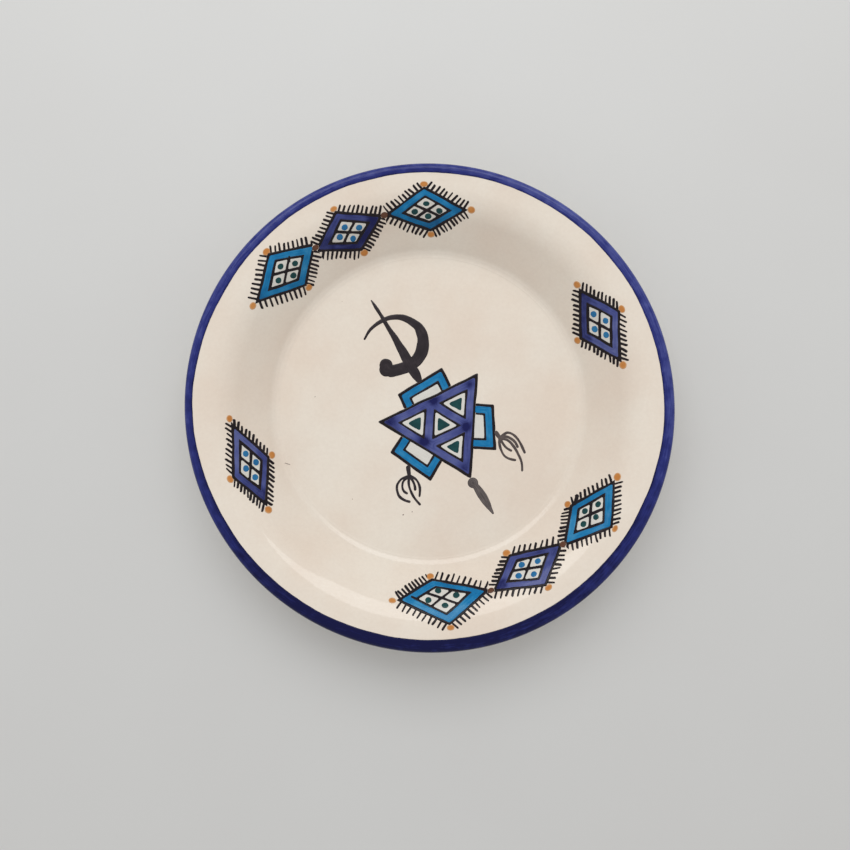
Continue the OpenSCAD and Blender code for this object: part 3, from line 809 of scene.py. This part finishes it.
class Finish:
    """A glossy fired surface, and shorthand for its nodes."""

    def __init__(self, name, roughness, ior=1.45):
        self.material = bpy.data.materials.new(name)
        self.material.use_nodes = True
        self.tree = self.material.node_tree
        self.shader = self.tree.nodes["Principled BSDF"]
        self.shader.inputs["Roughness"].default_value = roughness
        self.shader.inputs["IOR"].default_value = ior
        self.place = self.add("ShaderNodeTexCoord").outputs["Object"]

    def add(self, kind, **settings):
        node = self.tree.nodes.new(kind)
        for key, value in settings.items():
            setattr(node, key, value)
        return node

    def link(self, source, socket):
        if hasattr(source, "is_linked"):
            self.tree.links.new(source, socket)
        else:
            socket.default_value = source

    def noise(self, size, detail=2, vector=None, roughness=0.5):
        """Noise from 0 to 1 with features about `size` millimetres across."""
        node = self.add("ShaderNodeTexNoise")
        self.link(vector or self.place, node.inputs["Vector"])
        node.inputs["Scale"].default_value = 1 / (size * MM)
        node.inputs["Detail"].default_value = detail
        node.inputs["Roughness"].default_value = roughness
        return node.outputs["Fac"]

    def math(self, operation, a, b=0.0):
        node = self.add("ShaderNodeMath", operation=operation)
        self.link(a, node.inputs[0])
        self.link(b, node.inputs[1])
        return node.outputs[0]

    def span(self, value, low, high, to_low=0.0, to_high=1.0):
        """The value carried from one range to another, held at its ends."""
        node = self.add("ShaderNodeMapRange", clamp=True)
        for socket, number in zip(node.inputs, (value, low, high, to_low, to_high)):
            self.link(number, socket)
        return node.outputs[0]

    def mix(self, share, a, b):
        node = self.add("ShaderNodeMix", data_type="RGBA")
        self.link(share, node.inputs["Factor"])
        # The node also has number and vector sockets called A and B
        for name, source in (("A", a), ("B", b)):
            self.link(source, next(s for s in node.inputs if s.name == name and s.type == "RGBA"))
        return next(s for s in node.outputs if s.type == "RGBA")

    def attribute(self, name):
        return self.add("ShaderNodeAttribute", attribute_name=name).outputs["Fac"]

    def relief(self, height, depth):
        """Bump from a height of 0 to 1, which stands for `depth` millimetres."""
        node = self.add("ShaderNodeBump")
        node.inputs["Distance"].default_value = depth * MM
        self.link(height, node.inputs["Height"])
        if self.shader.inputs["Normal"].is_linked:
            self.link(self.shader.inputs["Normal"].links[0].from_socket, node.inputs["Normal"])
        self.link(node.outputs[0], self.shader.inputs["Normal"])

    def radius(self):
        """Distance from the plate's axis, in metres."""
        parts = self.add("ShaderNodeSeparateXYZ")
        self.link(self.place, parts.inputs[0])
        squares = [self.math("MULTIPLY", part, part) for part in parts.outputs[:2]]
        return self.math("SQRT", self.math("ADD", *squares))

    def done(self, colour):
        self.link(colour, self.shader.inputs["Base Color"])
        return self.material


def cream_glaze(name, pale, warm):
    """Cream tin glaze: clouded colour, pinholes with brown rims, faint turning rings and a soft ripple."""
    m = Finish(name, GLAZE_ROUGHNESS)
    cloud = m.mix(m.span(m.noise(38, 3), 0.35, 0.68), linear(pale), linear(warm))
    grain = m.mix(m.span(m.noise(1.6, 4), 0.3, 0.75, 0.0, 0.1), cloud, linear((196, 176, 158)))
    holes = m.add("ShaderNodeTexVoronoi")
    m.link(m.place, holes.inputs["Vector"])
    holes.inputs["Scale"].default_value = 1 / (PINHOLE_GAP * MM)
    holes.inputs["Randomness"].default_value = 1
    rare = m.add("ShaderNodeSeparateColor")
    m.link(holes.outputs["Color"], rare.inputs[0])
    chosen = m.math("GREATER_THAN", rare.outputs[0], PINHOLE_RARITY)
    speck = m.math("MULTIPLY", m.span(holes.outputs["Distance"], 0.008, 0.019, 1.0, 0.0), chosen)
    colour = m.mix(m.math("MULTIPLY", speck, 0.7), grain, linear((140, 100, 70)))
    m.relief(m.noise(2.4, 2), 0.012)
    rings = m.add("ShaderNodeMath", operation="SINE")
    m.link(m.math("MULTIPLY", m.radius(), 2 * math.pi / (RING_GAP * MM)), rings.inputs[0])
    m.relief(m.math("MULTIPLY", rings.outputs[0], m.noise(24, 1)), 0.006)
    return m.done(colour)


def streaks(m, size):
    """Bristle marks that run along the nearest edge of a deposit."""
    joined = m.add("ShaderNodeCombineXYZ")
    m.link(m.math("MULTIPLY", m.attribute("edge"), MM / size), joined.inputs[0])
    parts = m.add("ShaderNodeSeparateXYZ")
    m.link(m.place, parts.inputs[0])
    for part, socket in zip(parts.outputs[:2], joined.inputs[1:]):
        m.link(m.math("MULTIPLY", part, STREAK_RUN), socket)
    return m.noise(1, 3, joined.outputs[0], 0.6)


def enamel(name, pale, middle, dark, rim=None, rim_width=0.3, streak=0.5):
    """Brushed enamel: toned by its passes, streaked along the stroke, and changed towards its rim."""
    m = Finish(name, ENAMEL_ROUGHNESS, ENAMEL_IOR)
    marks = m.math("SUBTRACT", streaks(m, 0.45), 0.5)
    patches = m.math("SUBTRACT", m.noise(5, 3), 0.5)
    value = m.math("ADD", m.attribute("tone"), m.math("MULTIPLY", marks, STREAK_GAIN * streak))
    value = m.math("ADD", value, m.math("MULTIPLY", patches, PATCH_GAIN))
    lower = m.mix(m.span(value, PALEST, 0), linear(pale), linear(middle))
    colour = m.mix(m.span(value, 0, DARKEST), lower, linear(dark))
    if rim:
        ragged = m.math("ADD", m.attribute("edge"), m.math("MULTIPLY", patches, 0.3))
        colour = m.mix(m.span(ragged, 0.0, rim_width, 1.0, 0.0), colour, linear(rim))
    m.relief(m.noise(0.9, 3), 0.01)
    m.relief(streaks(m, 0.3), 0.01)
    return m.done(colour)


def bare_clay():
    """Buff earthenware of the foot: clouded colour, dark grit and a sandy grain."""
    m = Finish("bare_earthenware", 0.85)
    colour = m.mix(m.span(m.noise(7, 4), 0.3, 0.7), linear((196, 150, 120)), linear((172, 122, 94)))
    grit = m.span(m.noise(0.7, 4, roughness=0.7), 0.62, 0.72)
    colour = m.mix(m.math("MULTIPLY", grit, 0.6), colour, linear((120, 84, 66)))
    m.relief(m.noise(0.5, 5, roughness=0.7), 0.08)
    return m.done(colour)


def make_materials():
    return {
        "clay": bare_clay(),
        "glaze": cream_glaze("cream_glaze", (241, 232, 219), (236, 222, 207)),
        "inner_glaze": cream_glaze("cream_glaze_base", (232, 221, 206), (222, 208, 190)),
        "band": enamel("cobalt_band", (78, 86, 152), (38, 46, 118), (4, 8, 64), streak=0.6),
        "turquoise": enamel("turquoise_field", (74, 152, 196), (18, 120, 176), (4, 72, 120)),
        "cobalt": enamel("cobalt_field", (102, 110, 162), (70, 79, 140), (20, 25, 84)),
        "ink": enamel("ink_line", (46, 34, 38), (26, 19, 24), (15, 11, 18), streak=0.3),
        "black": enamel("brush_black", (70, 62, 66), (48, 42, 46), (30, 26, 30)),
        "thin_black": enamel("thin_black", (112, 100, 96), (82, 73, 72), (52, 45, 46), streak=0.7),
        "smoke": enamel("pendant_smoke", (124, 115, 112), (94, 87, 86), (50, 44, 47), rim=(58, 50, 52),
                        streak=0.9),
        "white": enamel("white_ground", (230, 228, 221), (221, 219, 212), (200, 198, 192)),
        "ochre": enamel("ochre_dot", (218, 160, 98), (200, 132, 68), (176, 106, 50), (214, 178, 142), 0.5),
        "brown": enamel("brown_dot", (126, 84, 60), (102, 66, 48), (76, 48, 38), (84, 56, 46), 0.4),
        "green": enamel("green_dot", (34, 92, 92), (20, 66, 68), (10, 42, 48), streak=0.4),
        "blue_dot": enamel("blue_dot", (58, 140, 186), (38, 112, 164), (28, 82, 136), streak=0.4),
    }


# ---- Scene: places and sizes in metres, the lens and its sensor in millimetres ----
CAMERA_PLACE = (-0.00219, -0.00793, 0.3776)
CAMERA_LENS = 31.13
SENSOR_WIDTH = 36
NEAR_CLIP = 0.01
FLOOR_HALF = 3
KEY_PLACE = (-0.06, 0.72, 0.95)
KEY_SIZE = (1.3, 0.75)
KEY_POWER = 6.6
KEY_COLOUR = (0.985, 0.995, 1)
WORLD_COLOUR = (1, 0.985, 0.97, 1)
WORLD_STRENGTH = 0.605


def make_camera():
    camera = bpy.data.objects.new("camera", bpy.data.cameras.new("camera"))
    bpy.context.scene.collection.objects.link(camera)
    camera.location = CAMERA_PLACE
    camera.data.lens = CAMERA_LENS
    camera.data.sensor_width = SENSOR_WIDTH
    camera.data.clip_start = NEAR_CLIP
    bpy.context.scene.camera = camera


def make_key_light():
    """Soft light from beyond the top of the picture, aimed at the plate."""
    light = bpy.data.objects.new("key", bpy.data.lights.new("key", "AREA"))
    bpy.context.scene.collection.objects.link(light)
    light.data.shape = "RECTANGLE"
    light.data.size, light.data.size_y = KEY_SIZE
    light.data.energy = KEY_POWER
    light.data.color = KEY_COLOUR
    light.location = KEY_PLACE
    light.rotation_euler = (-Vector(KEY_PLACE)).to_track_quat("-Z", "Y").to_euler()


def make_floor():
    h = FLOOR_HALF
    mesh = bpy.data.meshes.new("floor")
    mesh.from_pydata([(-h, -h, 0), (h, -h, 0), (h, h, 0), (-h, h, 0)], [], [(0, 1, 2, 3)])
    floor = bpy.data.objects.new("floor", mesh)
    bpy.context.scene.collection.objects.link(floor)
    m = Finish("floor_paint", 0.55)
    mesh.materials.append(m.done(m.mix(m.noise(90), linear((216, 217, 216)), linear((213, 213, 212)))))


def make_world():
    world = bpy.data.worlds.new("studio")
    world.use_nodes = True
    background = world.node_tree.nodes["Background"]
    background.inputs["Color"].default_value = WORLD_COLOUR
    background.inputs["Strength"].default_value = WORLD_STRENGTH
    bpy.context.scene.world = world
    bpy.context.scene.view_settings.view_transform = "Standard"


make_camera()
make_floor()
make_key_light()
make_world()
materials = make_materials()
make_plate(materials["clay"], materials["glaze"], materials["inner_glaze"])
make_band(materials["band"])
make_lozenges(materials)
make_brooch(materials)
make_hand_marks(materials)
